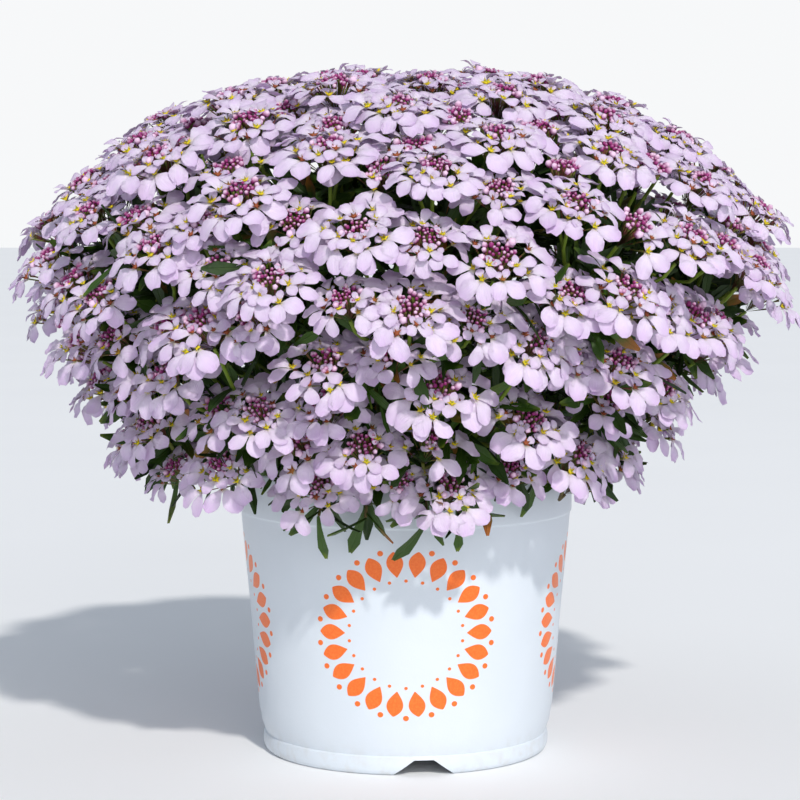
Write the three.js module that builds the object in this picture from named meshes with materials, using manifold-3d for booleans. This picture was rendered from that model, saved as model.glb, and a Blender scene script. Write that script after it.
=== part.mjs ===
// Potted evergreen candytuft: a squat plastic nursery pot, its potting mix, 28 leafy stems
// that stand in the mix, and 28 flower sprays that the stems carry, which together make
// one rounded mound of flat flower heads.
// Millimetres, +Z up, front towards -Y, origin at the middle of the pot's foot.

import * as THREE from 'three';
import { mergeVertices } from 'three/addons/utils/BufferGeometryUtils.js';
import Module from 'manifold-3d';

const wasm = await Module();
wasm.setup();

// Pot
const potHeight = 150;
const rimRadius = 88;
const rimBandBottom = 127.6;
const wall = 1.5;
const footRadius = 75.9;
const footHeight = 9.2;
const footWidth = 5.6;
const floorTop = 13.5;
const floorThickness = 1.5;
const potSides = 32;
const notchCount = 3;
const notchAzimuth = -83;
const notchHeight = 8;
const notchTopWidth = 10;
const notchBottomWidth = 32;
const drainCount = 6;
const drainAzimuth = 30;
const drainRadius = 4;
const drainCircle = 46;
const drainSides = 8;
const cutMargin = 4;

// Potting mix
const gap = 0.3;
const mixEdgeHeight = 131;
const mixTopHeight = 135;

// Mound of flower heads, as the surface that the head centres lie on
const headCount = 115;
const moundRadius = 190;
const moundMiddle = 248;
const moundRise = 106;
const skirtRadius = 120;
const skirtBottom = 150;
const skirtLean = -14;
const skirtAngle = 50;
const firstAzimuth = 90;
const placeJitter = 3;
const tiltJitter = 6;
const faceLimit = 46;

// One flower head
const petalCount = 6;
const headReach = 25;
const valleyShare = 0.54;
const ridgeShare = 0.7;
const shoulderShare = 0.85;
const tipShare = 0.96;
const shoulderAngle = 0.8;
const budShare = 0.28;
const budHeight = 5.2;
const budRingHeight = 4;
const underHeight = 3.5;
const bendDepth = 13;
const petalDroop = 10;
const droopJitter = 5;
const petalThickness = 1.4;

// Stems, stalks and leaves
const sprayCount = 28;
const stemRadius = 1.9;
const stemDepth = 20;
const stemUpright = 1;
const stemRise = 0.75;
const stemReach = 0.4;
const stemSteps = 4;
const stemCircle = 68;
const holeRadius = 2.9;
const forkRadius = 2.9;
const forkLength = 7;
const forkMiddle = 0.6;
const forkShare = 0.62;
const lowForkShare = 0.8;
const forkSpace = 31;
const forkFloor = 165;
const stalkRadius = 1.1;
const straightLimit = 0.85;
const leavesPerStem = 5;
const leafLength = 30;
const leafWidth = 6;
const leafThickness = 1.3;
const leafNeck = 0.85;
const leafWidest = 0.58;
const leafSpread = 55;
const droopingSpread = 100;
const leafJitter = 4;
const leafSpace = 5.6;
const leafPairSpace = 6.8;
const leafFloor = 112;
const headSpace = 15;
const leafTries = 12;
const firstLeaf = 0.34;
const lastLeaf = 0.96;

const goldenAngle = Math.PI * (3 - Math.sqrt(5));
const up = new THREE.Vector3(0, 0, 1);

let state = 2026;
function random() {
  state = (state * 1664525 + 1013904223) % 4294967296;
  return state / 4294967296;
}

function spread(size) {
  return (random() * 2 - 1) * size;
}

function radians(degrees) {
  return degrees * Math.PI / 180;
}

function mix(a, b, share) {
  return a + (b - a) * share;
}

// A closed geometry as a solid: shared corners merged, slivers at a lathe's pole left out
function solid(geometry) {
  const bare = geometry.clone();
  bare.deleteAttribute('normal');
  bare.deleteAttribute('uv');
  const merged = mergeVertices(bare, 1e-4);
  const corners = merged.index.array;
  const kept = [];
  for (let i = 0; i < corners.length; i += 3) {
    const [a, b, c] = [corners[i], corners[i + 1], corners[i + 2]];
    if (a !== b && b !== c && c !== a) kept.push(a, b, c);
  }
  return new wasm.Manifold(new wasm.Mesh({
    numProp: 3,
    vertProperties: new Float32Array(merged.attributes.position.array),
    triVerts: new Uint32Array(kept),
  }));
}

function meshOf(name, body, material) {
  const result = body.getMesh();
  const geometry = new THREE.BufferGeometry();
  geometry.setAttribute('position', new THREE.BufferAttribute(new Float32Array(result.vertProperties), 3));
  geometry.setIndex(Array.from(result.triVerts));
  geometry.computeVertexNormals();
  const mesh = new THREE.Mesh(geometry, material);
  mesh.name = name;
  return mesh;
}

function turned(profile) {
  const points = profile.map(([radius, height]) => new THREE.Vector2(radius, height));
  return new THREE.LatheGeometry(points, potSides).rotateX(Math.PI / 2);
}

// A way through given points, with a tube's stations exactly at those points
class Route extends THREE.Curve {
  constructor(points) {
    super();
    this.points = points;
  }

  getPoint(t) {
    const at = t * (this.points.length - 1);
    const i = Math.min(Math.floor(at), this.points.length - 2);
    return this.points[i].clone().lerp(this.points[i + 1], at - i);
  }

  getPointAt(u) {
    return this.getPoint(u);
  }

  getTangentAt(u) {
    const step = 0.5 / (this.points.length - 1);
    return this.getPoint(Math.min(u + step, 1)).sub(this.getPoint(Math.max(u - step, 0))).normalize();
  }
}

function tube(points, radius, sides) {
  const section = new THREE.Shape();
  for (let i = 0; i < sides; i++) {
    const angle = i * 2 * Math.PI / sides;
    const x = radius * Math.cos(angle);
    const y = radius * Math.sin(angle);
    if (i === 0) section.moveTo(x, y);
    else section.lineTo(x, y);
  }
  section.closePath();
  const options = { steps: points.length - 1, extrudePath: new Route(points), bevelEnabled: false };
  return new THREE.ExtrudeGeometry(section, options);
}

// Pot: one turned wall with a raised floor, then the foot's notches and the drain holes cut
const outerWall = [
  [footRadius - 2.6, 0],
  [footRadius - 0.5, 2.2],
  [footRadius, 5],
  [footRadius - 0.5, footHeight],
  [footRadius - 1.2, footHeight + 0.6],
  [footRadius + 0.7, 15.2],
  [footRadius + 2.2, 23.6],
  [footRadius + 3.9, 42],
  [rimRadius - 5.3, 78],
  [rimRadius - 0.7, rimBandBottom - 0.6],
  [rimRadius, rimBandBottom],
  [rimRadius, potHeight - 0.8],
  [rimRadius - 0.6, potHeight],
];
const innerWall = [
  [rimRadius - wall - 0.4, potHeight],
  [rimRadius - 0.7 - wall, rimBandBottom],
  [footRadius + 3.9 - wall, 42],
  [footRadius + 0.7 - wall, 19],
  [footRadius - 4.5, floorTop],
];
const footInside = footRadius - footWidth;

function notch(azimuth) {
  const side = new THREE.Shape();
  side.moveTo(-notchBottomWidth / 2, -1);
  side.lineTo(notchBottomWidth / 2, -1);
  side.lineTo(notchTopWidth / 2, notchHeight);
  side.lineTo(-notchTopWidth / 2, notchHeight);
  side.closePath();
  const depth = footWidth + 2 * cutMargin;
  const cutter = new THREE.ExtrudeGeometry(side, { depth, bevelEnabled: false });
  cutter.rotateX(Math.PI / 2).rotateZ(Math.PI / 2).translate(footInside - cutMargin, 0, 0);
  return solid(cutter.rotateZ(radians(azimuth)));
}

function drain(azimuth) {
  const depth = floorThickness + 2 * cutMargin;
  const cutter = new THREE.CylinderGeometry(drainRadius, drainRadius, depth, drainSides).rotateX(Math.PI / 2);
  return solid(cutter.translate(drainCircle, 0, floorTop).rotateZ(radians(azimuth)));
}

const potProfile = [
  [0, floorTop - floorThickness],
  [footInside, floorTop - floorThickness],
  [footInside, 0],
  ...outerWall,
  ...innerWall,
  [0, floorTop],
];
let pot = solid(turned(potProfile));
for (let i = 0; i < notchCount; i++) pot = pot.subtract(notch(notchAzimuth + i * 360 / notchCount));
for (let i = 0; i < drainCount; i++) pot = pot.subtract(drain(drainAzimuth + i * 360 / drainCount));

// Mound: share of its area above each angle, so that heads and sprays spread evenly over it
function moundPoint(angle, azimuth, out = 0) {
  const low = Math.max(0, (angle - 90) / skirtAngle);
  const dome = radians(Math.min(angle, 90));
  const radius = mix(moundRadius * Math.sin(dome), skirtRadius, low) + out * Math.sin(dome);
  return new THREE.Vector3(
    radius * Math.cos(azimuth) + skirtLean * low,
    radius * Math.sin(azimuth),
    mix(moundMiddle + (moundRise + out) * Math.cos(dome), skirtBottom, low),
  );
}

const lastAngle = 90 + skirtAngle;
const areaSteps = 400;
const areaAbove = [0];
for (let i = 1; i <= areaSteps; i++) {
  const from = moundPoint(lastAngle * (i - 1) / areaSteps, 0);
  const to = moundPoint(lastAngle * i / areaSteps, 0);
  areaAbove.push(areaAbove[i - 1] + from.distanceTo(to) * (from.x + to.x) / 2);
}

function angleAt(share) {
  const area = share * areaAbove[areaSteps];
  let i = 1;
  while (i < areaSteps && areaAbove[i] < area) i++;
  const within = (area - areaAbove[i - 1]) / (areaAbove[i] - areaAbove[i - 1]);
  return lastAngle * (i - 1 + within) / areaSteps;
}

// Heads: all face up and outward, the low ones the most, and none faces down
const skirtSlope = Math.PI / 2 + Math.atan2(moundRadius - skirtRadius, moundMiddle - skirtBottom);
const heads = [];
for (let i = 0; i < headCount; i++) {
  const angle = angleAt((i + 0.5) / headCount);
  const jitter = placeJitter / moundRadius;
  const around = spread(jitter) / Math.max(Math.sin(radians(angle)), jitter);
  const azimuth = radians(firstAzimuth) + i * goldenAngle + around;
  const centre = moundPoint(angle + spread(jitter) * 180 / Math.PI, azimuth, spread(placeJitter));
  const dome = radians(Math.min(angle, 90));
  const domeSlope = Math.atan2(Math.sin(dome) / moundRadius, Math.cos(dome) / moundRise);
  const slope = angle > 90 ? skirtSlope : domeSlope;
  const limit = radians(faceLimit);
  const face = limit * (1 - Math.exp(-slope / limit)) + radians(spread(tiltJitter));
  const turn = azimuth + radians(spread(tiltJitter));
  const axis = new THREE.Vector3(
    Math.sin(face) * Math.cos(turn),
    Math.sin(face) * Math.sin(turn),
    Math.cos(face),
  );
  heads.push({ centre, axis, droop: petalDroop + spread(droopJitter) });
}
for (const head of heads) {
  let nearest = Infinity;
  for (const other of heads) {
    if (other !== head) nearest = Math.min(nearest, head.centre.distanceTo(other.centre));
  }
  head.reach = Math.min(headReach, nearest / 2 - gap);
}

// One head on its stalk as one closed skin: a low dome of buds, a ring of broad drooping
// petals, and under them the three-sided stalk, which leaves the head straight down and
// then bends to the fork. The head's x axis lies square to that bend.
function headOnStalk(head, start) {
  const toStart = start.clone().sub(head.centre).normalize();
  const x = new THREE.Vector3().crossVectors(head.axis, toStart).normalize();
  const y = new THREE.Vector3().crossVectors(head.axis, x);
  const corners = [];
  const faces = [];

  function add(point) {
    corners.push(point.x, point.y, point.z);
    return corners.length / 3 - 1;
  }

  function corner(share, angle, height) {
    const point = head.centre.clone().addScaledVector(head.axis, height);
    point.addScaledVector(x, share * head.reach * Math.cos(angle));
    return add(point.addScaledVector(y, share * head.reach * Math.sin(angle)));
  }

  function stalkRing(centre, direction) {
    const across = new THREE.Vector3().crossVectors(direction, x).normalize();
    return [0, 1, 2].map((i) => {
      const point = centre.clone().addScaledVector(x, stalkRadius * Math.cos(i * 2 * Math.PI / 3));
      return add(point.addScaledVector(across, stalkRadius * Math.sin(i * 2 * Math.PI / 3)));
    });
  }

  const half = Math.PI / petalCount;
  const fall = Math.tan(radians(head.droop));
  const fallAt = share => -(share - valleyShare) * head.reach * fall;
  const middle = corner(0, 0, budHeight);
  const valleys = [];
  const buds = [];
  for (let i = 0; i < petalCount; i++) {
    const angle = (2 * i + 1) * half;
    valleys.push(corner(valleyShare, angle, 0));
    buds.push(corner(budShare, angle, budRingHeight));
  }
  const under = head.centre.clone().addScaledVector(head.axis, -underHeight);
  const bend = head.centre.clone().addScaledVector(head.axis, -bendDepth);
  const along = bend.clone().sub(start).normalize();
  const rings = [stalkRing(under, head.axis)];
  if (along.dot(head.axis) < straightLimit) {
    rings.push(stalkRing(bend, along.clone().add(head.axis).normalize()));
  }
  rings.push(stalkRing(start, along));

  for (let i = 0; i < petalCount; i++) {
    const angle = 2 * i * half;
    const before = (i + petalCount - 1) % petalCount;
    const left = corner(shoulderShare, angle - half * shoulderAngle, fallAt(shoulderShare));
    const right = corner(shoulderShare, angle + half * shoulderAngle, fallAt(shoulderShare));
    const tip = corner(tipShare, angle, fallAt(tipShare));
    const ridge = corner(ridgeShare, angle, fallAt(ridgeShare) + petalThickness);
    faces.push(
      middle, buds[before], buds[i],
      buds[before], valleys[before], ridge,
      buds[before], ridge, buds[i],
      buds[i], ridge, valleys[i],
      ridge, valleys[before], left,
      ridge, left, tip,
      ridge, tip, right,
      ridge, right, valleys[i],
      valleys[before], valleys[i], right,
      valleys[before], right, tip,
      valleys[before], tip, left,
    );
    const near = rings[0][Math.floor(i / 2)];
    faces.push(near, valleys[i], valleys[before]);
    if (i % 2 === 1) faces.push(near, rings[0][(i + 1) / 2 % 3], valleys[i]);
  }
  for (let level = 0; level + 1 < rings.length; level++) {
    for (let i = 0; i < 3; i++) {
      const next = (i + 1) % 3;
      const [upper, lower] = [rings[level], rings[level + 1]];
      faces.push(upper[i], lower[i], upper[next], upper[next], lower[i], lower[next]);
    }
  }
  const end = rings[rings.length - 1];
  faces.push(end[0], end[2], end[1]);

  const geometry = new THREE.BufferGeometry();
  geometry.setAttribute('position', new THREE.BufferAttribute(new Float32Array(corners), 3));
  geometry.setIndex(faces);
  return solid(geometry);
}

// Sprays: each head belongs to the nearest of the spray places, which follow the same rule
const sprays = [];
for (let i = 0; i < sprayCount; i++) {
  const azimuth = radians(firstAzimuth) + i * goldenAngle;
  const place = moundPoint(angleAt((i + 0.5) / sprayCount), azimuth);
  sprays.push({ place, azimuth, heads: [] });
}
for (const head of heads) {
  const distance = spray => spray.place.distanceTo(head.centre);
  const home = sprays.reduce((best, spray) => (distance(spray) < distance(best) ? spray : best));
  home.heads.push(head);
}

// Stems: from a hole in the mix, up and over the rim where the spray hangs low, to the fork
sprays.forEach((spray, rank) => {
  const middle = new THREE.Vector3();
  for (const head of spray.heads) middle.addScaledVector(head.centre, 1 / spray.heads.length);
  const low = rank / (sprayCount - 1);
  const holeAt = stemCircle * Math.sqrt((rank + 0.5) / sprayCount);
  const hole = new THREE.Vector3(holeAt * Math.cos(spray.azimuth), holeAt * Math.sin(spray.azimuth), 0);
  const top = hole.clone().setZ(mixTopHeight + stemUpright);
  const fork = top.clone().lerp(middle, mix(forkShare, lowForkShare, low));
  fork.z = Math.max(fork.z, forkFloor);
  while (heads.some(head => head.centre.distanceTo(fork) < forkSpace)) {
    fork.x *= 0.98;
    fork.y *= 0.98;
  }
  const rise = fork.z - top.z;
  const into = middle.clone().sub(fork).normalize();
  const first = top.clone().setZ(top.z + rise * stemRise);
  const second = fork.clone().addScaledVector(into, -stemReach * fork.distanceTo(top));
  second.z = Math.max(second.z, forkFloor + 2);
  const bend = new THREE.CubicBezierCurve3(top, first, second, fork);
  spray.hole = hole;
  spray.route = [hole.clone().setZ(mixTopHeight - stemDepth), ...bend.getSpacedPoints(stemSteps)];
  spray.fork = fork;
  spray.into = new Route(spray.route).getTangentAt(1);
});

const stalks = [];
for (const spray of sprays) {
  for (const head of spray.heads) {
    const start = spray.fork.clone().addScaledVector(spray.into, forkLength * forkMiddle);
    const bend = head.centre.clone().addScaledVector(head.axis, -bendDepth);
    stalks.push({ spray, head, start, bend });
  }
}

// Leaves: set around each stem by the same turn, where they are clear of all the rest
const scratch = [new THREE.Vector3(), new THREE.Vector3()];
function nearness(a, b, c, d) {
  let best = Infinity;
  for (let i = 0; i <= 8; i++) {
    const point = scratch[0].lerpVectors(a, b, i / 8);
    const along = scratch[1].subVectors(d, c);
    const t = THREE.MathUtils.clamp(point.clone().sub(c).dot(along) / along.lengthSq(), 0, 1);
    best = Math.min(best, along.multiplyScalar(t).add(c).distanceTo(point));
  }
  return best;
}

const leaves = [];
function leafIsClear(spray, base, tip) {
  for (const share of [0.4, 0.7, 1]) {
    const point = base.clone().lerp(tip, share);
    const radius = Math.hypot(point.x, point.y);
    const onRim = radius < rimRadius + leafSpace && radius > rimRadius - 2 * leafSpace;
    if (onRim && point.z < potHeight + leafSpace) return false;
    if (radius < rimRadius && point.z < mixTopHeight + leafSpace) return false;
    if (point.z < leafFloor) return false;
    for (const head of heads) {
      const away = point.clone().sub(head.centre);
      const height = away.dot(head.axis);
      const across = Math.sqrt(Math.max(0, away.lengthSq() - height * height));
      if (across < head.reach + leafSpace && Math.abs(height) < headSpace) return false;
    }
  }
  const outer = base.clone().lerp(tip, 0.25);
  for (const other of sprays) {
    const from = other === spray ? outer : base;
    for (let i = 0; i + 1 < other.route.length; i++) {
      if (nearness(from, tip, other.route[i], other.route[i + 1]) < leafSpace) return false;
    }
    const hub = other.fork.clone().addScaledVector(other.into, forkLength);
    if (nearness(from, tip, other.fork, hub) < leafPairSpace) return false;
  }
  for (const stalk of stalks) {
    if (nearness(base, tip, stalk.start, stalk.bend) < leafSpace) return false;
  }
  for (const leaf of leaves) {
    const from = leaf.spray === spray ? outer : base;
    if (nearness(from, tip, leaf.base, leaf.tip) < leafPairSpace) return false;
  }
  return true;
}

for (const spray of sprays) {
  const way = new Route(spray.route);
  for (let i = 0; i < leavesPerStem; i++) {
    const u = mix(firstLeaf, lastLeaf, i / (leavesPerStem - 1));
    const base = way.getPointAt(u);
    const along = way.getTangentAt(u);
    const side = new THREE.Vector3(along.z, along.z, -along.x - along.y).normalize();
    const first = i * goldenAngle + random() * Math.PI;
    const length = leafLength + spread(leafJitter);
    for (let turn = 0; turn < leafTries; turn++) {
      const out = side.clone().applyAxisAngle(along, first + turn * 2 * Math.PI / leafTries);
      const lean = radians(turn % 3 === 2 ? droopingSpread : leafSpread);
      const aim = along.clone().multiplyScalar(Math.cos(lean)).addScaledVector(out, Math.sin(lean));
      const tip = base.clone().addScaledVector(aim, length);
      if (leafIsClear(spray, base, tip)) {
        leaves.push({ spray, base, tip, length });
        break;
      }
    }
  }
}

// A leaf is a narrow three-sided blade, widest past its middle, its end sunk in the stem
function leafSolid(leaf) {
  const half = leafWidth / 2;
  const profile = [[0, 0], [leafNeck, 0], [half, leafWidest], [0, 1]];
  const points = profile.map(([radius, share]) => new THREE.Vector2(radius, share * leaf.length));
  const blade = new THREE.LatheGeometry(points, 3);
  blade.scale(2 / Math.sqrt(3), 1, leafThickness / (1.5 * half));
  const aim = leaf.tip.clone().sub(leaf.base).normalize();
  const across = new THREE.Vector3().crossVectors(aim, up);
  if (across.length() < 0.1) across.set(1, 0, 0);
  across.normalize();
  const face = new THREE.Vector3().crossVectors(across, aim);
  const placed = new THREE.Matrix4().makeBasis(across, aim, face).setPosition(leaf.base);
  return solid(blade.applyMatrix4(placed));
}

// Potting mix: fills the pot with a small gap, with one plain hole for each stem
const mixProfile = [
  [0, floorTop + gap],
  [footRadius - 4.5 - gap, floorTop + gap],
  [footRadius + 0.7 - wall - gap, 19],
  [footRadius + 3.9 - wall - gap, 42],
  [rimRadius - 0.7 - wall - gap, rimBandBottom],
  [rimRadius - 0.7 - wall - gap, mixEdgeHeight],
  [0, mixTopHeight],
];
let pottingMix = solid(turned(mixProfile));
for (const spray of sprays) {
  const depth = stemDepth + cutMargin;
  const cutter = new THREE.CylinderGeometry(holeRadius, holeRadius, depth, 4).rotateX(Math.PI / 2);
  cutter.translate(spray.hole.x, spray.hole.y, mixTopHeight - stemDepth - gap + depth / 2);
  pottingMix = pottingMix.subtract(solid(cutter));
}

const potWhite = new THREE.MeshStandardMaterial({ color: 0xf2f6fa, roughness: 0.35, metalness: 0 });
const mixBrown = new THREE.MeshStandardMaterial({ color: 0x2e2119, roughness: 0.95, metalness: 0 });
const leafGreen = new THREE.MeshStandardMaterial({ color: 0x35521f, roughness: 0.5, metalness: 0 });
const petalLilac = new THREE.MeshStandardMaterial({ color: 0xd9c8ea, roughness: 0.7, metalness: 0 });

const plant = new THREE.Group();
plant.add(meshOf('pot', pot, potWhite));
plant.add(meshOf('potting_mix', pottingMix, mixBrown));

sprays.forEach((spray, rank) => {
  const number = String(rank + 1).padStart(2, '0');
  const stemParts = [solid(tube(spray.route, stemRadius, 3))];
  for (const leaf of leaves) {
    if (leaf.spray === spray) stemParts.push(leafSolid(leaf));
  }
  plant.add(meshOf(`leafy_stem_${number}`, wasm.Manifold.union(stemParts), leafGreen));

  const hubStart = spray.fork.clone().addScaledVector(spray.into, gap);
  const hubEnd = spray.fork.clone().addScaledVector(spray.into, forkLength);
  const sprayParts = [solid(tube([hubStart, hubEnd], forkRadius, 3))];
  for (const stalk of stalks) {
    if (stalk.spray === spray) sprayParts.push(headOnStalk(stalk.head, stalk.start));
  }
  plant.add(meshOf(`flower_spray_${number}`, wasm.Manifold.union(sprayParts), petalLilac));
});

export default plant;
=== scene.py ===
import math
import random

import bpy
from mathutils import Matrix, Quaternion, Vector, noise


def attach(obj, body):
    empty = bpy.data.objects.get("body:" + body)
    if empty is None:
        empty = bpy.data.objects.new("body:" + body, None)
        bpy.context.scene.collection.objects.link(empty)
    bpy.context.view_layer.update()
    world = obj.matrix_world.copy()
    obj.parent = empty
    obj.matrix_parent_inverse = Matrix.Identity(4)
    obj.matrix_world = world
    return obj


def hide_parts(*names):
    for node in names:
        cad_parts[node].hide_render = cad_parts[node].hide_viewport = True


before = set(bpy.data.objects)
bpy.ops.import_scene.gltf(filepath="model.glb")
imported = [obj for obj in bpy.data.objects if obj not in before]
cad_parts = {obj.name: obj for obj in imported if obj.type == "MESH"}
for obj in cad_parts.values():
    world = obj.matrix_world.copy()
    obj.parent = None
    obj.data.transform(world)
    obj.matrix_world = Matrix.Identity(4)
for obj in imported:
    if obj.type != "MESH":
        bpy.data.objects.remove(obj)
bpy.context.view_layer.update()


# The pot
# A squat nursery pot, moulded in one shot of white polypropylene: a thin leaning wall, a plain
# straight band under the lip, a foot ring with three notches that let water out, and a raised floor
# with six drain holes. A ring of orange drops and dots is printed on it four times over.
mm = 0.001
full_turn = 2 * math.pi
pot_segments = 180
pot_outside = [
    (0, 12), (70.3, 12), (70.6, 11.4), (70.7, 0.6), (71.2, 0), (73.3, 0), (74.6, 0.7), (75.4, 2.2),
    (75.8, 3.6), (75.9, 5), (75.8, 7.4), (75.4, 9.2), (74.9, 9.6), (74.7, 9.9), (75.0, 10.6),
    (76.6, 15.2), (78.1, 23.6), (79.8, 42), (81.3, 60), (82.7, 78), (85.1, 103), (87.2, 126.4),
    (87.3, 127), (87.6, 127.3), (87.9, 127.6), (88, 128.2), (88, 148.7), (87.8, 149.5), (87.4, 150),
]
pot_inside = [
    (86.6, 150), (86.2, 149.8), (86.1, 149.2), (85.9, 128.3), (85.8, 127.6), (83.2, 100),
    (80.6, 70), (78.3, 42), (76.9, 28), (75.1, 19), (73.9, 15.4), (72.9, 14), (71.4, 13.5), (0, 13.5),
]
edge_angle = 38            # edges sharper than this are not shaded smooth
notch_azimuth = -83
notch_height = 8
notch_top_width = 10
notch_bottom_width = 32
notch_inner_radius = 66
notch_outer_radius = 80
drain_azimuth = 30
drain_radius = 4
drain_circle = 46
cut_margin = 2             # how far a notch's cutter reaches past the pot

print_middle = 73.5        # height of the middle of each printed ring
print_flatness = 0.94      # height of the ring over its width
print_softness = 0.12
drop_count = 22
drop_circle = 38.5
drop_half_length = 7.2
drop_half_width = 3.3
dot_circle = 46.0
dot_radius = 1.5
bead_circle = 29.4
bead_radius = 0.9


def colour(red, green, blue):
    """A screen colour, each part from 0 to 255, as the shader's linear colour."""
    linear = [((part / 255 + 0.055) / 1.055) ** 2.4 for part in (red, green, blue)]
    return (*linear, 1)


plastic_white = colour(212, 220, 228)
plastic_cloud = colour(220, 227, 234)
print_orange = colour(243, 108, 33)
print_light = colour(248, 122, 44)
dust_brown = colour(190, 178, 160)


class Wire:
    """One output of a node. Arithmetic on wires and numbers adds Math nodes."""

    def __init__(self, recipe, socket):
        self.recipe = recipe
        self.socket = socket

    def __add__(self, other):
        return self.recipe.maths("ADD", self, other)

    def __sub__(self, other):
        return self.recipe.maths("SUBTRACT", self, other)

    def __mul__(self, other):
        return self.recipe.maths("MULTIPLY", self, other)

    def __truediv__(self, other):
        return self.recipe.maths("DIVIDE", self, other)

    def __pow__(self, other):
        return self.recipe.maths("POWER", self, other)

    def __radd__(self, other):
        return self.recipe.maths("ADD", other, self)

    def __rsub__(self, other):
        return self.recipe.maths("SUBTRACT", other, self)


class Recipe:
    """A node tree that is being written."""

    def __init__(self, tree):
        self.tree = tree

    def node(self, kind, settings=None, values=None, output=0):
        """Adds a node, its settings first, then its sockets' values or wires, and gives one output."""
        made = self.tree.nodes.new(kind)
        for name, value in (settings or {}).items():
            setattr(made, name, value)
        for name, value in (values or {}).items():
            self.feed(made.inputs[name], value)
        return Wire(self, made.outputs[output])

    def feed(self, socket, value):
        if isinstance(value, list):
            for wire in value:
                self.tree.links.new(wire.socket, socket)
        elif isinstance(value, Wire):
            self.tree.links.new(value.socket, socket)
        else:
            socket.default_value = value

    def maths(self, operation, *values):
        return self.node("ShaderNodeMath", {"operation": operation}, dict(enumerate(values)))

    def vector(self, x, y, z):
        return self.node("ShaderNodeCombineXYZ", values={0: x, 1: y, 2: z})

    def axes(self, vector):
        split = self.node("ShaderNodeSeparateXYZ", values={0: vector})
        return [Wire(self, output) for output in split.socket.node.outputs]


class Finish(Recipe):
    """A material that is being written. Its shader's plain values are set first."""

    def __init__(self, name, plain):
        self.material = bpy.data.materials.new(name)
        self.material.use_nodes = True
        super().__init__(self.material.node_tree)
        self.shader = self.tree.nodes["Principled BSDF"].inputs
        for socket, value in plain.items():
            self.shader[socket].default_value = value

    def place(self):
        """The point's place on the object, in metres."""
        return self.node("ShaderNodeTexCoord", output="Object")

    def noise(self, scale, detail=3, roughness=0.5, at=None):
        values = {"Vector": at or self.place(), "Scale": scale, "Detail": detail, "Roughness": roughness}
        return self.node("ShaderNodeTexNoise", values=values)

    def mixed(self, mask, first, second):
        """The first colour where the mask is 0 and the second where it is 1."""
        return self.node("ShaderNodeMix", {"data_type": "RGBA"}, {0: mask, 6: first, 7: second}, 2)

    def ramp(self, value, low, high, at_low=0, at_high=1):
        """From at_low where the value is low to at_high where it is high, and level past both."""
        values = {0: value, 1: low, 2: high, 3: at_low, 4: at_high}
        return self.node("ShaderNodeMapRange", values=values)

    def attribute(self, name):
        return self.node("ShaderNodeAttribute", {"attribute_name": name}, output="Fac")

    def surface(self, tint, roughness, relief, depth):
        """Feeds the shader its colour, its roughness and the fine relief of its surface."""
        self.feed(self.shader["Base Color"], tint)
        self.feed(self.shader["Roughness"], roughness)
        bump = self.node("ShaderNodeBump", values={"Height": relief, "Distance": depth})
        self.feed(self.shader["Normal"], bump)


def mesh_of(name, points, faces, edges=()):
    mesh = bpy.data.meshes.new(name)
    mesh.from_pydata(points, edges, faces)
    return mesh


def turned(name, profile, segments):
    """A closed body turned round the Z axis from (radius, height) points, the first and last at 0."""
    points = []
    rings = []
    for radius, height in profile:
        steps = segments if radius > 0 else 1
        rings.append([len(points) + i for i in range(steps)])
        for i in range(steps):
            angle = full_turn * i / segments
            points.append((radius * math.cos(angle), radius * math.sin(angle), height))
    faces = []
    for low, high in zip(rings, rings[1:]):
        for i in range(segments):
            after = (i + 1) % segments
            corners = [low[i % len(low)], low[after % len(low)]]
            corners += [high[after % len(high)], high[i % len(high)]]
            faces.append(list(dict.fromkeys(corners)))
    mesh = mesh_of(name, points, faces)
    mesh.shade_smooth()
    return mesh


def piece(name, data):
    made = bpy.data.objects.new(name, data)
    bpy.context.scene.collection.objects.link(made)
    return made


def plain_mesh(carrier):
    """The mesh that an object's modifiers make, on its own; the carrier goes."""
    evaluated = carrier.evaluated_get(bpy.context.evaluated_depsgraph_get())
    mesh = bpy.data.meshes.new_from_object(evaluated)
    bpy.data.objects.remove(carrier)
    return mesh


def carved(name, mesh, cutters):
    """The mesh with each of the cutter meshes taken out of it."""
    carrier = piece(name, mesh)
    tools = [piece("cutter", cutter) for cutter in cutters]
    for tool in tools:
        cut = carrier.modifiers.new("cut", "BOOLEAN")
        cut.operation = "DIFFERENCE"
        cut.object = tool
    result = plain_mesh(carrier)
    for tool in tools:
        bpy.data.objects.remove(tool)
    return result


def notch_cutter(azimuth):
    """A wedge under the foot ring, wider at the ground than at its top."""
    slope = (notch_bottom_width - notch_top_width) / 2 / notch_height
    bottom = (-cut_margin, notch_bottom_width / 2 + cut_margin * slope)
    turn = Quaternion((0, 0, 1), math.radians(azimuth))
    points = []
    for height, half in (bottom, (notch_height, notch_top_width / 2)):
        ends = ((notch_inner_radius, -half), (notch_outer_radius, -half))
        ends += ((notch_outer_radius, half), (notch_inner_radius, half))
        points += [turn @ Vector((x * mm, y * mm, height * mm)) for x, y in ends]
    faces = [(3, 2, 1, 0), (4, 5, 6, 7)]
    faces += [(i, (i + 1) % 4, (i + 1) % 4 + 4, i + 4) for i in range(4)]
    return mesh_of("notch", points, faces)


def drain_cutter(azimuth):
    """A drill as wide as a drain hole, from under the raised floor to above it."""
    below = 9 * mm
    above = 16 * mm
    profile = [(0, below), (drain_radius * mm, below), (drain_radius * mm, above), (0, above)]
    mesh = turned("drain", profile, 24)
    angle = math.radians(azimuth)
    for vertex in mesh.vertices:
        vertex.co += Vector((math.cos(angle), math.sin(angle), 0)) * drain_circle * mm
    return mesh


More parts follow.
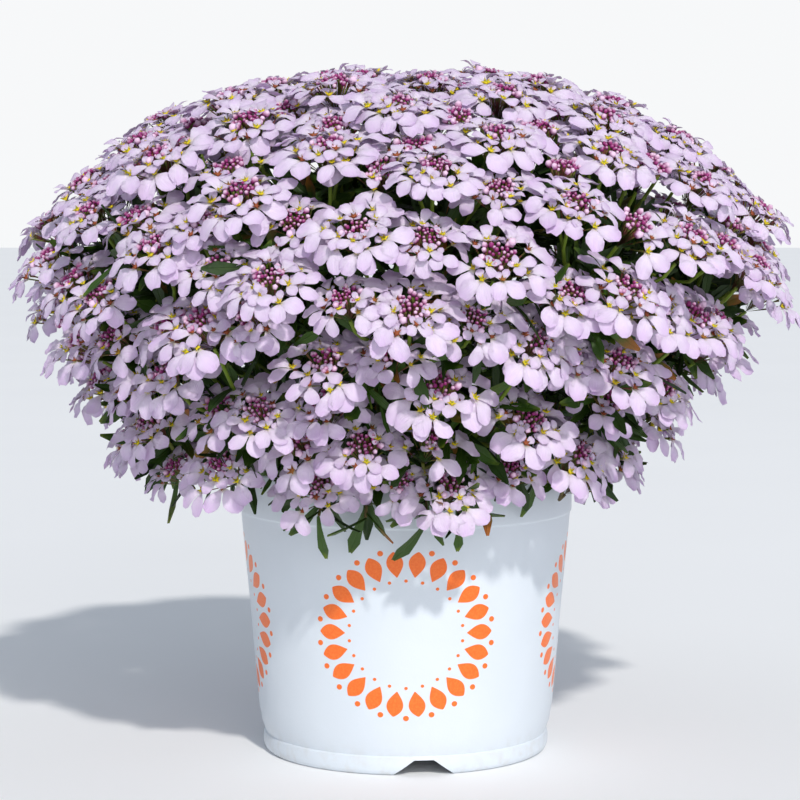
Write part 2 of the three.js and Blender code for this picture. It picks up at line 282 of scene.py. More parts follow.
pot_profile = [(radius * mm, height * mm) for radius, height in pot_outside + pot_inside]
cutters = [notch_cutter(notch_azimuth + turn) for turn in (0, 120, 240)]
cutters += [drain_cutter(drain_azimuth + turn) for turn in range(0, 360, 60)]
pot_mesh = carved("pot", turned("pot", pot_profile, pot_segments), cutters)
pot_mesh.shade_smooth()
pot_mesh.set_sharp_from_angle(angle=math.radians(edge_angle))

plastic = Finish("printed white plastic", {"IOR": 1.49})
x, y, z = plastic.axes(plastic.place())
eighth = full_turn / 8       # the print repeats on each quarter of the wall
azimuth = plastic.maths("WRAP", plastic.maths("ARCTAN2", y, x), eighth, -eighth)
radius = plastic.maths("SQRT", x * x + y * y)
along_wall = azimuth * radius * (1 / mm)
up_wall = (z * (1 / mm) - print_middle) * (1 / print_flatness)
from_middle = plastic.maths("SQRT", along_wall * along_wall + up_wall * up_wall)
around_ring = plastic.maths("ARCTAN2", up_wall, along_wall)
step = full_turn / drop_count


def sideways(shift):
    """How far a point is, round the printed ring, from the nearest of the evenly spaced marks."""
    return plastic.maths("WRAP", around_ring + shift * step, step / 2, -step / 2) * from_middle


def inked(distance):
    """1 inside a printed edge and 0 outside it, from the distance to it in millimetres."""
    return plastic.ramp(distance, -print_softness, print_softness, 1, 0)


def dots(circle, dot):
    """Round dots on a circle, one between each two drops."""
    side = sideways(0.5)
    outward = from_middle - circle
    return inked(plastic.maths("SQRT", side * side + outward * outward) - dot)


drop_share = (from_middle - drop_circle) / drop_half_length
drop_width = plastic.maths("MAXIMUM", 1 - drop_share * drop_share, 0) * (1.25 + drop_share * 0.45)
drop_edge = plastic.maths("ABSOLUTE", sideways(0)) - drop_width * drop_half_width
past_tip = plastic.ramp(plastic.maths("ABSOLUTE", drop_share), 0.97, 1, 0, 3)
printed = plastic.maths("MAXIMUM", inked(drop_edge + past_tip), dots(dot_circle, dot_radius))
printed = plastic.maths("MAXIMUM", printed, dots(bead_circle, bead_radius))
above_foot = plastic.ramp(radius, 76.5 * mm, 77.5 * mm)
below_band = plastic.ramp(radius, 87.2 * mm, 86.8 * mm)
printed = printed * above_foot * below_band
cloudy = plastic.noise(26)
fine = plastic.noise(900, 2)
dust = plastic.ramp(z, 18 * mm, 0) * plastic.ramp(plastic.noise(160, 4), 0.45, 0.75)
white = plastic.mixed(cloudy, plastic_white, plastic_cloud)
dusted = plastic.mixed(dust * 0.35, white, dust_brown)
orange = plastic.mixed(plastic.ramp(fine, 0.35, 0.7), print_orange, print_light)
plastic.surface(
    plastic.mixed(printed, dusted, orange), 0.34 + cloudy * 0.12 + dust * 0.2 - printed * 0.08,
    plastic.noise(55, 2) * 3 + fine * 0.35 + printed * 0.5, 0.12 * mm)

pot = piece("nursery_pot", pot_mesh)
pot.data.materials.append(plastic.material)
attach(pot, "root")
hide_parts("pot")


# The potting mix
# Peat, composted bark and a little perlite, filled to a finger's width under the rim and settled
# round the stems. Chips of bark and crumbs of peat lie loose on top, where water has bared them.
mix_profile = [
    (0, 13.8), (70.5, 13.8), (74.2, 17), (77.7, 42), (80.0, 70), (82.6, 100), (85.2, 126), (85.4, 130.5),
]
mix_top_radius = 84.6
mix_edge_height = 131
mix_middle_height = 135
mix_rings = 26
mix_segments = 120
mix_roughness = 1.6
chip_density = 14000.0     # chips on a square metre
shortest_chip = 2.2
longest_chip = 6.5
chip_kinds = 6
chip_seed = 5
bark_brown = colour(58, 40, 27)
bark_light = colour(84, 60, 40)
peat_brown = colour(34, 25, 19)
perlite_grey = colour(186, 180, 168)


class Tree(Recipe):
    """A geometry nodes tree that is being written: it takes named sizes and gives a geometry."""

    def __init__(self, name):
        super().__init__(bpy.data.node_groups.new(name, "GeometryNodeTree"))
        for way in ("INPUT", "OUTPUT"):
            self.tree.interface.new_socket("Geometry", in_out=way, socket_type="NodeSocketGeometry")
        self.start = self.node("NodeGroupInput")
        self.end = self.tree.nodes.new("NodeGroupOutput")
        self.seed = self.sizes("Int", "Seed")[0]

    def sizes(self, kind, *names):
        """Named inputs of the tree, all of one kind."""
        for name in names:
            self.tree.interface.new_socket(name, in_out="INPUT", socket_type="NodeSocket" + kind)
        return [Wire(self, self.start.socket.node.outputs[name]) for name in names]

    def index(self):
        return self.node("GeometryNodeInputIndex")

    def named(self, name, data_type="FLOAT"):
        return self.node("GeometryNodeInputNamedAttribute", {"data_type": data_type}, {0: name})

    def random(self, low, high, salt):
        """A random number for each element, drawn from the tree's seed and the salt."""
        values = {2: low, 3: high, "Seed": self.seed + salt}
        return self.node("FunctionNodeRandomValue", values=values, output=1)

    def pick(self, count, salt):
        """A random whole number for each element, from 0 up to the count."""
        values = {4: 0, 5: count - 1, "Seed": self.seed + salt}
        return self.node("FunctionNodeRandomValue", {"data_type": "INT"}, values, 2)

    def turn(self, about_x, about_y, about_z):
        euler = self.vector(about_x, about_y, about_z)
        return self.node("FunctionNodeEulerToRotation", values={0: euler})

    def copies(self, points, source, pick, rotation, scale, selection=True):
        """Instances of one of a collection's objects on each point."""
        settings = {"transform_space": "RELATIVE"}
        info = {"Collection": source, "Separate Children": True, "Reset Children": True}
        instance = self.node("GeometryNodeCollectionInfo", settings, info)
        values = {
            "Points": points, "Selection": selection, "Instance": instance, "Pick Instance": True,
            "Instance Index": pick, "Rotation": rotation, "Scale": scale,
        }
        return self.node("GeometryNodeInstanceOnPoints", values=values)

    def label(self, geometry, name, value, domain="INSTANCE", data_type="FLOAT"):
        settings = {"data_type": data_type, "domain": domain}
        values = {"Geometry": geometry, "Name": name, "Value": value}
        return self.node("GeometryNodeStoreNamedAttribute", settings, values)

    def realised(self, geometries, finishes):
        """Ends the tree: makes the instances real and gives each face the material of its finish."""
        solid = self.node("GeometryNodeJoinGeometry", values={0: geometries})
        solid = self.node("GeometryNodeRealizeInstances", values={0: solid})
        mark = self.named("finish", "INT")
        for number, material in enumerate(finishes):
            settings = {"data_type": "INT", "operation": "EQUAL"}
            worn = self.node("FunctionNodeCompare", settings, {2: mark, 3: number})
            values = {"Geometry": solid, "Selection": worn, "Material": material}
            solid = self.node("GeometryNodeSetMaterial", values=values)
        self.tree.links.new(solid.socket, self.end.inputs[0])


def grown(tree, sizes, start=None):
    """The plain mesh that a tree makes with these sizes, from a start mesh or from nothing."""
    name = tree.tree.name
    carrier = piece(name, start or bpy.data.meshes.new(name))
    growth = carrier.modifiers.new("growth", "NODES")
    growth.node_group = tree.tree
    for item in tree.tree.interface.items_tree:
        if item.in_out == "INPUT" and item.name in sizes:
            growth[item.identifier] = sizes[item.name]
    return plain_mesh(carrier)


def kit(name, meshes):
    """A collection of the repeated shapes that a tree picks from, outside the scene."""
    made = bpy.data.collections.new(name)
    for number, mesh in enumerate(meshes):
        made.objects.link(bpy.data.objects.new(f"{name} {number:02d}", mesh))
    return made


def mark_finish(mesh, number):
    """Says which of its piece's finishes a mesh's faces have."""
    marks = mesh.attributes.new("finish", "INT", "FACE")
    marks.data.foreach_set("value", [number] * len(mesh.polygons))
    return mesh


def bark_chip(seed):
    """An irregular splinter of bark, a few dozen faces, one unit long."""
    profile = [(0, -0.5), (0.22, -0.42), (0.3, -0.1), (0.27, 0.25), (0.14, 0.46), (0, 0.5)]
    mesh = turned("bark chip", profile, 6)
    for vertex in mesh.vertices:
        shake = noise.noise_vector(vertex.co * 3 + Vector((seed * 7.3, 0, 0)))
        vertex.co += shake * 0.16
        vertex.co.y *= 0.55
    for polygon in mesh.polygons:
        polygon.use_smooth = False
    return mark_finish(mesh, 0)


bark = Finish("bark and peat", {"IOR": 1.4})
chip_tone = bark.attribute("tone")
grain = bark.noise(700, 4, 0.65)
lumps = bark.noise(170)
brown = bark.mixed(chip_tone, peat_brown, bark_brown)
brown = bark.mixed(bark.ramp(grain, 0.4, 0.75), brown, bark_light)
pale = bark.ramp(chip_tone, 0.955, 0.965) * bark.ramp(lumps, 0.35, 0.45)
bark.surface(bark.mixed(pale, brown, perlite_grey), 0.78 + grain * 0.2, grain + lumps, 0.8 * mm)

mix_outline = [(radius * mm, height * mm) for radius, height in mix_profile]
for i in range(mix_rings, -1, -1):
    share = i / mix_rings
    height = mix_edge_height + (mix_middle_height - mix_edge_height) * (1 - share ** 2)
    mix_outline.append((mix_top_radius * share * mm, height * mm))
mix_mesh = turned("potting mix", mix_outline, mix_segments)
for vertex in mix_mesh.vertices:
    if vertex.co.z > (mix_edge_height - 0.2) * mm:
        lift = noise.fractal(vertex.co * 190, 1.0, 2.0, 4)
        vertex.co.z += lift * mix_roughness * mm

mix_tree = Tree("scattered bark")
chips_input = mix_tree.sizes("Collection", "Chips")[0]
density, shortest, longest = mix_tree.sizes("Float", "Density", "Shortest chip", "Longest chip")
height = mix_tree.axes(mix_tree.node("GeometryNodeInputPosition"))[2]
on_top = mix_tree.maths("GREATER_THAN", height, (mix_edge_height - 0.4) * mm)
values = {"Mesh": mix_tree.start, "Selection": on_top, "Density": density, "Seed": mix_tree.seed}
scatter = mix_tree.node("GeometryNodeDistributePointsOnFaces", values=values)
lie = mix_tree.turn(
    mix_tree.random(1.0, 2.1, 1), mix_tree.random(-0.5, 0.5, 2), mix_tree.random(0.0, full_turn, 3))
chip_size = mix_tree.random(shortest, longest, 4)
chips = mix_tree.copies(scatter, chips_input, mix_tree.pick(chip_kinds, 5), lie, chip_size)
chips = mix_tree.label(chips, "tone", mix_tree.random(0.0, 1.0, 6))
mix_tree.realised([mix_tree.start, chips], mix_tree.sizes("Material", "Finish"))

mix_sizes = {
    "Seed": chip_seed, "Chips": kit("bark chips", [bark_chip(seed) for seed in range(chip_kinds)]),
    "Density": chip_density, "Shortest chip": shortest_chip * mm, "Longest chip": longest_chip * mm,
    "Finish": bark.material,
}
mix_body = piece("peat_and_bark", grown(mix_tree, mix_sizes, mark_finish(mix_mesh, 0)))
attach(mix_body, "root")
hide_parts("potting_mix")


# The leafy stems
# Wiry evergreen stems that fan out from the middle of the pot, each clothed in narrow dark leaves
# and leafy side shoots. They grew in one piece with their leaves, and stand in the mix by their
# roots. The flower heads spread evenly over a mound, and each stem serves the heads near its end.
head_count = 115
stem_count = 28
mound_radius = 190
mound_middle = 248
mound_rise = 106
skirt_radius = 120
skirt_bottom = 150
skirt_lean = -14
skirt_angle = 50
first_azimuth = 90
place_jitter = 3
tilt_jitter = 6
face_limit = 46
petal_droop = 10
droop_jitter = 5
bend_depth = 13
stem_radius = 1.9
stem_end_radius = 1.5
stem_foot_height = 136
stem_depth = 20
stem_rise = 0.75
stem_reach = 0.4
stem_circle = 68
stem_steps = 9
bare_share = 0.42          # a stem's lower part, in the shade, has lost its leaves
stalk_steps = 7
stalk_leave = 0.35         # how far a stalk keeps the stem's way, as a share of its length
stalk_arrive = 0.4
leafy_steps = 4            # a stalk has leaves on its first steps only
stalk_radius = 0.9
fork_share = 0.62
low_fork_share = 0.8
fork_space = 31
fork_floor = 165
golden_angle = math.pi * (3 - math.sqrt(5))
area_steps = 400

young_count = 140
young_depth = 6            # how far under the others a young head stands
young_tilt = 14
young_tries = 60
young_lift = 1.4           # more than 1 sets more of the young heads near the top
leaf_rows = 4
leaf_columns = 2
leaf_length = 29
leaf_width = 6.6
leaf_thickness = 0.9
leaf_kinds = 7
leaf_gap = 3.2
leaf_spread = 50
shoot_radius = 1.2
shoot_end_radius = 0.8
shoot_steps = 8
front_shoots = {3: -100, 11: -85, 19: -77, 24: -112}    # stem: azimuth of a shoot over the front
skirt_shoot_ends = (115, 141)    # the lowest angle on the mound where each one's tip may be
leaf_green = colour(54, 88, 8)
leaf_mottle = colour(44, 74, 14)
leaf_rib = colour(78, 102, 30)
leaf_dark = colour(26, 50, 4)
# a lighter yellow-green painted on the leaf tips: a painted sunlit highlight
leaf_painted_highlight = colour(122, 142, 34)
leaf_old = colour(158, 92, 34)
stem_green = colour(104, 130, 28)
stem_streak = colour(126, 128, 58)
stem_brown = colour(88, 70, 42)


def drawn(state):
    """The plant's own sequence of numbers from 0 to 1."""
    while True:
        state = (state * 1664525 + 1013904223) % 4294967296
        yield state / 4294967296


draws = drawn(2026)


def spread(size):
    return (next(draws) * 2 - 1) * size


def between(low, high, share):
    return low + (high - low) * share


def upward(height):
    return Vector((0, 0, height))


def mound_point(angle, azimuth, out=0):
    """A point of the mound, from its top (0 degrees) down over its side and in under its skirt."""
    low = max(0, (angle - 90) / skirt_angle)
    dome = math.radians(min(angle, 90))
    radius = between(mound_radius * math.sin(dome), skirt_radius, low) + out * math.sin(dome)
    height = between(mound_middle + (mound_rise + out) * math.cos(dome), skirt_bottom, low)
    lean = skirt_lean * low
    return Vector((radius * math.cos(azimuth) + lean, radius * math.sin(azimuth), height))


def measured_mound():
    """How much of the mound's surface lies above each of its angles."""
    areas = [0]
    for i in range(1, area_steps + 1):
        upper = mound_point((90 + skirt_angle) * (i - 1) / area_steps, 0)
        lower = mound_point((90 + skirt_angle) * i / area_steps, 0)
        areas.append(areas[-1] + (upper - lower).length * (upper.x + lower.x) / 2)
    return areas


area_above = measured_mound()


def angle_at(share):
    """The angle that has this share of the mound's surface above it."""
    target = share * area_above[-1]
    i = 1
    while i < area_steps and area_above[i] < target:
        i += 1
    part = (target - area_above[i - 1]) / (area_above[i] - area_above[i - 1])
    return (90 + skirt_angle) * (i - 1 + part) / area_steps


def slope_at(angle):
    """How steeply the mound falls at one of its angles, in radians."""
    dome = math.radians(min(angle, 90))
    if angle > 90:
        return math.pi / 2 + math.atan2(mound_radius - skirt_radius, mound_middle - skirt_bottom)
    return math.atan2(math.sin(dome) / mound_radius, math.cos(dome) / mound_rise)


def axis_of(angle, turn, tilt):
    """The way a head faces: outward, but less than the mound under it does."""
    limit = math.radians(face_limit)
    face = limit * (1 - math.exp(-slope_at(angle) / limit)) + tilt
    flat = math.sin(face)
    return Vector((flat * math.cos(turn), flat * math.sin(turn), math.cos(face)))


class Head:
    """Where one flower head stands and which way it faces."""

    def __init__(self, number):
        angle = angle_at((number + 0.5) / head_count)
        jitter = place_jitter / mound_radius
        around = spread(jitter) / max(math.sin(math.radians(angle)), jitter)
        azimuth = math.radians(first_azimuth) + number * golden_angle + around
        low = spread(jitter)
        out = spread(place_jitter)
        self.centre = mound_point(angle + math.degrees(low), azimuth, out)
        tilt = math.radians(spread(tilt_jitter))
        turn = azimuth + math.radians(spread(tilt_jitter))
        self.axis = axis_of(angle, turn, tilt)
        self.young = False
        spread(droop_jitter)    # in the solids, the droop of this head's petals


class YoungHead:
    """A smaller, younger head, that stands lower in a gap between the others."""

    def __init__(self, chance):
        angle = angle_at(chance.random() ** young_lift)
        azimuth = chance.uniform(0, full_turn)
        self.centre = mound_point(angle, azimuth, -young_depth * chance.uniform(0.5, 1.5))
        tilt = math.radians(chance.uniform(-young_tilt, young_tilt))
        turn = azimuth + math.radians(chance.uniform(-young_tilt, young_tilt))
        self.axis = axis_of(angle, turn, tilt)
        self.young = True


def bezier(first, second, third, fourth, steps):
    """Points along a cubic curve."""
    points = []
    for i in range(steps + 1):
        t = i / steps
        u = 1 - t
        points.append(first * u ** 3 + second * 3 * u * u * t + third * 3 * u * t * t + fourth * t ** 3)
    return points


class Stem:
    """One leafy stem: the heads it serves, where it stands in the mix and where it forks."""

    def __init__(self, number):
        self.number = number
        self.azimuth = math.radians(first_azimuth) + number * golden_angle
        self.place = mound_point(angle_at((number + 0.5) / stem_count), self.azimuth)
        self.heads = []

    def settle(self):
        middle = sum((head.centre for head in self.heads), Vector()) / len(self.heads)
        low = self.number / (stem_count - 1)
        out = stem_circle * math.sqrt((self.number + 0.5) / stem_count)
        foot = Vector((out * math.cos(self.azimuth), out * math.sin(self.azimuth), stem_foot_height))
        fork = foot.lerp(middle, between(fork_share, low_fork_share, low))
        fork.z = max(fork.z, fork_floor)
        while any((head.centre - fork).length < fork_space for head in all_heads):
            fork.x *= 0.98
            fork.y *= 0.98
        self.into = (middle - fork).normalized()
        upper = fork - self.into * (fork - foot).length * stem_reach
        upper.z = max(upper.z, fork_floor + 2)
        lower = Vector((foot.x, foot.y, foot.z + stem_rise * (fork.z - foot.z)))
        self.path = [foot - upward(stem_depth)] + bezier(foot, lower, upper, fork, stem_steps)
        self.fork = fork

    def stalk(self, head):
        """The path from the fork to just under a head."""
        bend = head.centre - head.axis * bend_depth
        reach = (bend - self.fork).length
        leave = self.fork + self.into * reach * stalk_leave
        arrive = bend - head.axis * reach * stalk_arrive
        return bezier(self.fork, leave, arrive, bend, stalk_steps)


all_heads = [Head(number) for number in range(head_count)]
all_stems = [Stem(number) for number in range(stem_count)]
for head in all_heads:
    nearest = min(all_stems, key=lambda stem: (stem.place - head.centre).length)
    nearest.heads.append(head)
for stem in all_stems:
    stem.settle()


def free_space(young):
    """The distance from a young head to the nearest of the others."""
    return min((young.centre - head.centre).length for head in all_heads + young_heads)


young_chance = random.Random(17)
young_heads = []
for number in range(young_count):
    young = max((YoungHead(young_chance) for attempt in range(young_tries)), key=free_space)
    young_heads.append(young)
    min(all_stems, key=lambda stem: (stem.fork - young.centre).length).heads.append(young)


def mark_points(mesh, name, values, kind="FLOAT"):
    """Gives each point of a mesh a named value, which trees and finishes read."""
    part = "vector" if kind == "FLOAT_VECTOR" else "value"
    mesh.attributes.new(name, kind, "POINT").data.foreach_set(part, values)


def blade(name, rows, columns, thickness, up, place):
    """A thin closed blade: place(along, across) gives its middle surface, and its rim is sharp."""
    points = []
    marks = []
    upper = {}
    lower = {}
    rim = set()
    for i in range(rows + 1):
        for j in range(columns + 1):
            mark = (i / rows, 2 * j / columns - 1)
            middle = place(*mark)
            upper[i, j] = lower[i, j] = len(points)
            if i in (0, rows) or j in (0, columns):
                rim.add(len(points))
                points.append(middle)
                marks.append(mark)
            else:
                lower[i, j] += 1
                points += [middle + up * thickness / 2, middle - up * thickness / 2]
                marks += [mark, mark]
    faces = []
    for i in range(rows):
        for j in range(columns):
            ring = [(i, j), (i + 1, j), (i + 1, j + 1), (i, j + 1)]
            faces.append([upper[corner] for corner in ring])
            faces.append([lower[corner] for corner in reversed(ring)])
    mesh = mesh_of(name, points, faces)
    mesh.shade_smooth()
    for edge in mesh.edges:
        edge.use_edge_sharp = all(corner in rim for corner in edge.vertices)
    mark_points(mesh, "along", [along for along, across in marks])
    mark_points(mesh, "across", [across for along, across in marks])
    return mark_finish(mesh, 0)


def leaf(seed):
    """A narrow leaf, widest past its middle and round at its tip, standing up along Z."""
    chance = random.Random(300 + seed)
    length = leaf_length * chance.uniform(0.86, 1.14) * mm
    half = leaf_width * chance.uniform(0.85, 1.1) / 2 * mm
    arch = chance.uniform(0.05, 0.32)
    sway = chance.uniform(-0.12, 0.12)
    twist = chance.uniform(-0.5, 0.5)

    def place(along, across):
        neck = 0.28 + 0.74 * min(1, along / 0.72) ** 1.4
        tip = math.sqrt(max(0, 1 - max(0, (along - 0.7) / 0.31) ** 2))
        width = half * neck * tip * across
        fold = abs(across) ** 1.5 * half * 0.28
        turn = twist * along
        side = width * math.cos(turn) + fold * math.sin(turn) + sway * length * along ** 2
        out = length * arch * along ** 2 - fold * math.cos(turn) + width * math.sin(turn)
        return Vector((out, side, length * along * (1 - 0.12 * along * arch)))

    return blade("leaf", leaf_rows, leaf_columns, leaf_thickness * mm, Vector((-1, 0, 0)), place)


leaf_finish = Finish("evergreen leaf", {"IOR": 1.45})
along = leaf_finish.attribute("along")
tone = leaf_finish.attribute("leaf_tone")
mottle = leaf_finish.noise(240)
off_middle = leaf_finish.maths("ABSOLUTE", leaf_finish.attribute("across"))
midrib = leaf_finish.ramp(off_middle, 0, 0.22, 1, 0)
# The tips of the paler leaves are painted lighter: a painted sunlit highlight, not a colour of the leaf.
painted_tip_highlight = leaf_finish.ramp(along + mottle * 0.3, 1.0, 1.25) * leaf_finish.ramp(tone, 0.3, 0.8)
aged = leaf_finish.ramp(tone, 0.9, 0.97) * leaf_finish.ramp(along + mottle * 0.5, 0.75, 1.2)
green = leaf_finish.mixed(tone, leaf_dark, leaf_green)
green = leaf_finish.mixed(leaf_finish.ramp(mottle, 0.4, 0.7) * 0.5, green, leaf_mottle)
green = leaf_finish.mixed(midrib * leaf_finish.ramp(along, 0.8, 0.1) * 0.5, green, leaf_rib)
green = leaf_finish.mixed(painted_tip_highlight, green, leaf_painted_highlight)
green = leaf_finish.mixed(aged, green, leaf_old)
veins = leaf_finish.noise(900, 2)
relief = midrib * -0.5 + veins * 0.3 + mottle * 0.4
leaf_finish.surface(green, 0.42 + mottle * 0.22, relief, 0.4 * mm)

stem_finish = Finish("green stem", {"IOR": 1.45})
height = stem_finish.axes(stem_finish.place())[2]
streaks = stem_finish.noise(420)
woody = stem_finish.ramp(height + streaks * 0.02, 0.2, 0.15)
skin = stem_finish.mixed(woody, stem_green, stem_brown)
skin = stem_finish.mixed(stem_finish.ramp(streaks, 0.45, 0.75) * 0.5, skin, stem_streak)
stem_finish.surface(skin, 0.5 + streaks * 0.2, streaks, 0.4 * mm)


def tubes(tree, lines, finish):
    """Round stems along the lines, each as thick as its points say."""
    ring = tree.node("GeometryNodeCurvePrimitiveCircle", values={"Resolution": 6, "Radius": 1.0})
    values = {"Curve": lines, "Profile Curve": ring, "Scale": tree.named("thickness"), "Fill Caps": True}
    solid = tree.node("GeometryNodeCurveToMesh", values=values)
    solid = tree.node("GeometryNodeSetShadeSmooth", values={0: solid})
    return tree.label(solid, "finish", finish, "FACE", "INT")


stem_tree = Tree("leafy stem")
leaf_kit_input = stem_tree.sizes("Collection", "Leaves")[0]
gap_input, spread_input = stem_tree.sizes("Float", "Leaf spacing", "Leaf spread")
finishes = stem_tree.sizes("Material", "Leaf finish", "Stem finish")
lines = stem_tree.node("GeometryNodeMeshToCurve", values={0: stem_tree.start})
values = {"Curve": lines, "Length": gap_input}
spots = stem_tree.node("GeometryNodeCurveToPoints", {"mode": "LENGTH"}, values)
along_stem = Wire(stem_tree, spots.socket.node.outputs["Rotation"])
clothed = stem_tree.maths("LESS_THAN", stem_tree.named("bare"), 0.5)
leaves = stem_tree.copies(
    spots, leaf_kit_input, stem_tree.pick(leaf_kinds, 2), along_stem, stem_tree.random(0.72, 1.12, 1),
    clothed)
spiral = stem_tree.index() * golden_angle + stem_tree.random(-0.4, 0.4, 3)
lean = spread_input + stem_tree.random(-0.35, 0.4, 4)
for turn in (stem_tree.turn(0.0, 0.0, spiral), stem_tree.turn(0.0, lean, 0.0)):
    values = {"Instances": leaves, "Rotation": turn, "Local Space": True}
    leaves = stem_tree.node("GeometryNodeRotateInstances", values=values)
leaves = stem_tree.label(leaves, "leaf_tone", stem_tree.random(0.0, 1.0, 5))
stem_tree.realised([tubes(stem_tree, lines, 1), leaves], finishes)


def paths_mesh(name, paths):
    """A mesh of open lines. Each path is (points in mm, start radius, end radius, bare share)."""
    points = []
    edges = []
    thick = []
    bare = []
    for path, start, end, bare_part in paths:
        for i, point in enumerate(path):
            share = i / (len(path) - 1)
            if i:
                edges.append((len(points) - 1, len(points)))
            points.append(point * mm)
            thick.append(between(start, end, share) * mm)
            bare.append(1 if share < bare_part else 0)
    mesh = mesh_of(name, points, [], edges)
    mark_points(mesh, "thickness", thick)
    mark_points(mesh, "bare", bare)
    return mesh


def rim_shoot(number):
    """A short leafy shoot near the pot's edge. It leans over the rim, or hangs outside at hang 1."""
    chance = random.Random(700 + number)
    azimuth = number * golden_angle + chance.uniform(-0.1, 0.1)
    hang = chance.random()
    if number in front_shoots:
        azimuth = math.radians(front_shoots[number])
        hang = 1.1
    outward = Vector((math.cos(azimuth), math.sin(azimuth), 0))
    foot = outward * chance.uniform(56, 72) + upward(128)
    rise = foot + outward * 4 + upward(chance.uniform(26, 36))
    lean = outward * between(80, 94, hang) + upward(between(160, 182, hang))
    tip = outward * between(90, 112, hang) + upward(between(174, 140, hang))
    return bezier(foot, rise, lean, tip, shoot_steps)


def skirt_shoot(stem, lowest):
    """A leafy shoot from a stem's fork that ends in the open, between or below the heads."""
    chance = random.Random(1700 + stem.number + lowest)
    angle = chance.uniform(lowest - 45, lowest)
    azimuth = stem.azimuth + chance.uniform(-0.5, 0.5)
    tip = mound_point(angle, azimuth, chance.uniform(-26, -8))
    reach = (tip - stem.fork).length
    leave = stem.fork + stem.into * reach * 0.4
    droop = tip + upward(chance.uniform(4, 16)) - stem.into * reach * 0.2
    return bezier(stem.fork, leave, droop, tip, shoot_steps)


leaf_kit = kit("leaves", [leaf(seed) for seed in range(leaf_kinds)])
for stem in all_stems:
    paths = [(stem.path, stem_radius, stem_end_radius, bare_share)]
    for head in stem.heads:
        paths.append((stem.stalk(head)[:leafy_steps + 1], stalk_radius, stalk_radius, 0))
    paths.append((rim_shoot(stem.number), shoot_radius, shoot_end_radius, 0.3))
    for lowest in skirt_shoot_ends:
        paths.append((skirt_shoot(stem, lowest), shoot_radius, shoot_end_radius, 0.2))
    sizes = {
        "Seed": 100 + stem.number, "Leaves": leaf_kit, "Leaf spacing": leaf_gap * mm,
        "Leaf spread": math.radians(leaf_spread), "Leaf finish": leaf_finish.material,
        "Stem finish": stem_finish.material,
    }
    tag = f"{stem.number + 1:02d}"
    growth = grown(stem_tree, sizes, paths_mesh("leafy stem", paths))
    made = piece(f"stem_and_leaves_{tag}", growth)
    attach(made, "root")
    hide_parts(f"leafy_stem_{tag}")


# The flower sprays
# At the end of each leafy stem a few stalks carry flat flower heads. In a head, short red-green
# flower stalks spread from one point: closed buds in the middle, then small flowers, then a ring
# of open ones, each with two large outer petals, two small inner ones and a yellow middle.
large_petal_length = 13.2
large_petal_width = 9.0
middle_petal_length = 8.6
middle_petal_width = 6.6
small_petal_length = 5.4
small_petal_width = 4.2
petal_thickness = 0.34
petal_kinds = 9
small_petal_kinds = 4
pollen_kinds = 3
bud_kinds = 5
floret_kinds = 8
outer_petal_angle = 33     # between a flower's own middle line and each of its large petals
inner_petal_angle = 40
small_petal_angle = 44
sac_count = 5
sac_reach = 2.1
ring_radius = 13.4
ring_height = 1.0
inner_radius = 8.8
inner_height = 3.2
bud_height = 5.0
bud_diameter = 2.3
hub_depth = 13
spray_radius = 1.15
spray_end_radius = 0.95
light_lean = (0.02, -0.13, 0)    # heads lean towards their light, at the front
head_scale = (0.97, 1.12)
young_scale = (0.86, 1.04)
petal_white = colour(240, 226, 244)
petal_lilac = colour(223, 197, 233)
petal_deep = colour(211, 180, 223)
petal_vein = colour(184, 158, 214)
petal_claw = colour(214, 214, 150)
bud_magenta = colour(150, 46, 114)
bud_rose = colour(164, 78, 134)
# the pale pink of the older, outer buds, and a painted highlight on the top of every bud
bud_pale_and_highlight = colour(236, 202, 227)
bud_foot = colour(96, 62, 48)
eye_yellow = colour(238, 214, 34)
eye_green = colour(132, 140, 34)
eye_brown = colour(156, 84, 50)
pedicel_red = colour(126, 62, 58)
pedicel_green = colour(104, 116, 44)


def spoon(along, across, shoulder, narrowing):
    """How far out a point of a round-ended petal lies, and the petal's width, as shares of the whole."""
    beyond = max(0, along - shoulder) / (1 - shoulder)
    out = min(along, shoulder) + (1 - shoulder) * beyond * math.sqrt(1 - 0.52 * across ** 2)
    return out, math.sqrt(1 - narrowing * beyond ** 2)


def large_petal(seed):
    """A spoon-shaped petal along X: a narrow claw, then a broad blade, cupped and a little wavy."""
    chance = random.Random("large petal" + str(seed))
    length = large_petal_length * chance.uniform(0.9, 1.1) * mm
    half = large_petal_width * chance.uniform(0.88, 1.1) / 2 * mm
    cup = chance.uniform(-0.1, 0.26)
    curl = chance.uniform(-0.34, 0.14)
    rise = chance.uniform(0.06, 0.2)
    wave = chance.uniform(0.02, 0.07)
    phase = chance.uniform(0, 6)
    notch = chance.choice((0, 0, 0.05, 0.1))
    skew = chance.uniform(-0.12, 0.12)

    def place(along, across):
        claw = 0.13 + 0.87 * (1 - math.cos(math.pi * min(1, along / 0.62))) / 2
        out, width = spoon(along, across, 0.58, 0.476)
        width *= half * claw
        dent = notch * (1 - min(1, abs(across) * 2.4)) * along ** 4
        arch = rise * math.sin(math.pi * min(1, along * 1.3)) + curl * max(0, along - 0.45) ** 1.5
        ripple = wave * math.sin(phase + across * 3.5 + along * 4) * along
        up = cup * across ** 2 * width + length * (arch + ripple)
        return Vector((length * (out - dent), width * across + skew * length * along ** 2, up))

    return blade("large petal", 5, 3, petal_thickness * mm, upward(1), place)


